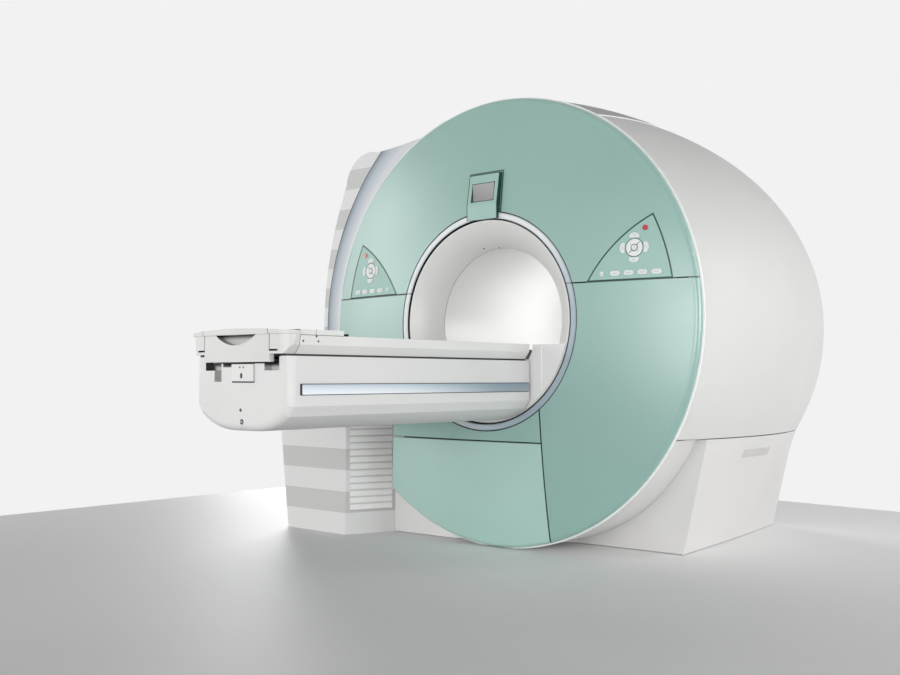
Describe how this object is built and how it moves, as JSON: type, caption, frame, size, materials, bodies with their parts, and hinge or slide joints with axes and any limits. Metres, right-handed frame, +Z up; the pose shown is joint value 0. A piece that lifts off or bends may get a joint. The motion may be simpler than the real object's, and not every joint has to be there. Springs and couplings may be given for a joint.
{
  "type": "mri scanner",
  "caption": "Whole-body MRI scanner: a barrel-shaped magnet with a domed round front, flared bore and ring, beside it a banded lift column that carries a sliding patient table.",
  "frame": {"origin": "on the floor under the isocentre, at the middle of the floor anchors", "axes": "+Y along the bore axis from the patient end to the rear, +Z up, +X to the right of someone facing the front"},
  "size_m": [2.5032, 3.1423, 2.1488],
  "materials": {
    "vessel_metal": "satin paint",
    "coil_resin": "cast resin",
    "bore_white": "smooth moulded",
    "frame_paint": "powder coat",
    "ring_silver": "satin anodised",
    "cover_green": "matt lacquer",
    "body_white": "matt lacquer",
    "housing_white": "matt lacquer with broad level bands",
    "band_silver": "metallic lacquer",
    "bellows_grey": "matt",
    "screen_grey": "matt screen",
    "guide_steel": "ground",
    "table_white": "fine matt",
    "lock_grey": "matt",
    "stop_red": "gloss",
    "button_white": "matt"
  },
  "bodies": {
    "gantry": {"base_cover": "body_white", "bore_bridge": "bore_white", "bore_tube": "bore_white", "cold_head": "frame_paint", "display_bezel": "cover_green", "display_screen": "screen_grey", "front_cover_left": "cover_green", "front_cover_right": "cover_green", "front_cover_top": "cover_green", "front_frame": "frame_paint", "front_funnel": "bore_white", "front_rim": "body_white", "gradient_coil": "coil_resin", "guide_rails": "guide_steel", "left_control_panel": "cover_green", "left_housing": "housing_white", "lift_column": "housing_white", "lift_cylinder": "guide_steel", "lower_bellows": "bellows_grey", "magnet_feet": "frame_paint", "magnet_vessel": "vessel_metal", "rear_cover": "body_white", "rear_frame": "frame_paint", "rear_funnel": "bore_white", "right_control_panel": "cover_green", "right_side_cover": "body_white", "ring_trim": "ring_silver", "service_door": "cover_green", "side_strip": "band_silver", "top_cover": "body_white", "upper_bellows": "bellows_grey", "vent_grille": "body_white"},
    "table": {"lift_arm": "frame_paint", "table_hull": "table_white", "hull_side_strips": "band_silver", "lock_block": "lock_grey"},
    "tabletop": {"tabletop": "table_white", "end_cap": "table_white"},
    "right_stop_button": {"right_stop_button": "stop_red"},
    "right_centre_button": {"right_centre_button": "button_white"},
    "right_up_button": {"right_up_button": "button_white"},
    "right_inward_button": {"right_inward_button": "button_white"},
    "right_down_button": {"right_down_button": "button_white"},
    "right_outward_button": {"right_outward_button": "button_white"},
    "right_round_button": {"right_round_button": "button_white"},
    "right_row_button_1": {"right_row_button_1": "button_white"},
    "right_row_button_2": {"right_row_button_2": "button_white"},
    "right_row_button_3": {"right_row_button_3": "button_white"},
    "right_row_button_4": {"right_row_button_4": "button_white"},
    "left_stop_button": {"left_stop_button": "stop_red"},
    "left_centre_button": {"left_centre_button": "button_white"},
    "left_up_button": {"left_up_button": "button_white"},
    "left_inward_button": {"left_inward_button": "button_white"},
    "left_down_button": {"left_down_button": "button_white"},
    "left_outward_button": {"left_outward_button": "button_white"},
    "left_round_button": {"left_round_button": "button_white"},
    "left_row_button_1": {"left_row_button_1": "button_white"},
    "left_row_button_2": {"left_row_button_2": "button_white"},
    "left_row_button_3": {"left_row_button_3": "button_white"},
    "left_row_button_4": {"left_row_button_4": "button_white"}
  },
  "joints": [
    {"name": "table_lift", "type": "slide", "parent": "gantry", "child": "table", "axis": [0, 0, 1], "range_m": [-0.4, 0], "deforming": ["lower_bellows", "upper_bellows"]},
    {"name": "tabletop_slide", "type": "slide", "parent": "table", "child": "tabletop", "axis": [0, 1, 0], "range_m": [0, 1.4]},
    {"name": "right_stop_button_press", "type": "slide", "parent": "gantry", "child": "right_stop_button", "axis": [-0.1522, 0.9867, -0.0566], "range_m": [0, 0.0015], "stiffness_N_per_m": 900},
    {"name": "right_centre_button_press", "type": "slide", "parent": "gantry", "child": "right_centre_button", "axis": [-0.1522, 0.9867, -0.0566], "range_m": [0, 0.0015], "stiffness_N_per_m": 900},
    {"name": "right_up_button_press", "type": "slide", "parent": "gantry", "child": "right_up_button", "axis": [-0.1522, 0.9867, -0.0566], "range_m": [0, 0.0015], "stiffness_N_per_m": 900},
    {"name": "right_inward_button_press", "type": "slide", "parent": "gantry", "child": "right_inward_button", "axis": [-0.1522, 0.9867, -0.0566], "range_m": [0, 0.0015], "stiffness_N_per_m": 900},
    {"name": "right_down_button_press", "type": "slide", "parent": "gantry", "child": "right_down_button", "axis": [-0.1522, 0.9867, -0.0566], "range_m": [0, 0.0015], "stiffness_N_per_m": 900},
    {"name": "right_outward_button_press", "type": "slide", "parent": "gantry", "child": "right_outward_button", "axis": [-0.1522, 0.9867, -0.0566], "range_m": [0, 0.0015], "stiffness_N_per_m": 900},
    {"name": "right_round_button_press", "type": "slide", "parent": "gantry", "child": "right_round_button", "axis": [-0.1522, 0.9867, -0.0566], "range_m": [0, 0.0015], "stiffness_N_per_m": 900},
    {"name": "right_row_button_1_press", "type": "slide", "parent": "gantry", "child": "right_row_button_1", "axis": [-0.1522, 0.9867, -0.0566], "range_m": [0, 0.0015], "stiffness_N_per_m": 900},
    {"name": "right_row_button_2_press", "type": "slide", "parent": "gantry", "child": "right_row_button_2", "axis": [-0.1522, 0.9867, -0.0566], "range_m": [0, 0.0015], "stiffness_N_per_m": 900},
    {"name": "right_row_button_3_press", "type": "slide", "parent": "gantry", "child": "right_row_button_3", "axis": [-0.1522, 0.9867, -0.0566], "range_m": [0, 0.0015], "stiffness_N_per_m": 900},
    {"name": "right_row_button_4_press", "type": "slide", "parent": "gantry", "child": "right_row_button_4", "axis": [-0.1522, 0.9867, -0.0566], "range_m": [0, 0.0015], "stiffness_N_per_m": 900},
    {"name": "left_stop_button_press", "type": "slide", "parent": "gantry", "child": "left_stop_button", "axis": [0.1522, 0.9867, -0.0566], "range_m": [0, 0.0015], "stiffness_N_per_m": 900},
    {"name": "left_centre_button_press", "type": "slide", "parent": "gantry", "child": "left_centre_button", "axis": [0.1522, 0.9867, -0.0566], "range_m": [0, 0.0015], "stiffness_N_per_m": 900},
    {"name": "left_up_button_press", "type": "slide", "parent": "gantry", "child": "left_up_button", "axis": [0.1522, 0.9867, -0.0566], "range_m": [0, 0.0015], "stiffness_N_per_m": 900},
    {"name": "left_inward_button_press", "type": "slide", "parent": "gantry", "child": "left_inward_button", "axis": [0.1522, 0.9867, -0.0566], "range_m": [0, 0.0015], "stiffness_N_per_m": 900},
    {"name": "left_down_button_press", "type": "slide", "parent": "gantry", "child": "left_down_button", "axis": [0.1522, 0.9867, -0.0566], "range_m": [0, 0.0015], "stiffness_N_per_m": 900},
    {"name": "left_outward_button_press", "type": "slide", "parent": "gantry", "child": "left_outward_button", "axis": [0.1522, 0.9867, -0.0566], "range_m": [0, 0.0015], "stiffness_N_per_m": 900},
    {"name": "left_round_button_press", "type": "slide", "parent": "gantry", "child": "left_round_button", "axis": [0.1522, 0.9867, -0.0566], "range_m": [0, 0.0015], "stiffness_N_per_m": 900},
    {"name": "left_row_button_1_press", "type": "slide", "parent": "gantry", "child": "left_row_button_1", "axis": [0.1522, 0.9867, -0.0566], "range_m": [0, 0.0015], "stiffness_N_per_m": 900},
    {"name": "left_row_button_2_press", "type": "slide", "parent": "gantry", "child": "left_row_button_2", "axis": [0.1522, 0.9867, -0.0566], "range_m": [0, 0.0015], "stiffness_N_per_m": 900},
    {"name": "left_row_button_3_press", "type": "slide", "parent": "gantry", "child": "left_row_button_3", "axis": [0.1522, 0.9867, -0.0566], "range_m": [0, 0.0015], "stiffness_N_per_m": 900},
    {"name": "left_row_button_4_press", "type": "slide", "parent": "gantry", "child": "left_row_button_4", "axis": [0.1522, 0.9867, -0.0566], "range_m": [0, 0.0015], "stiffness_N_per_m": 900}
  ]
}
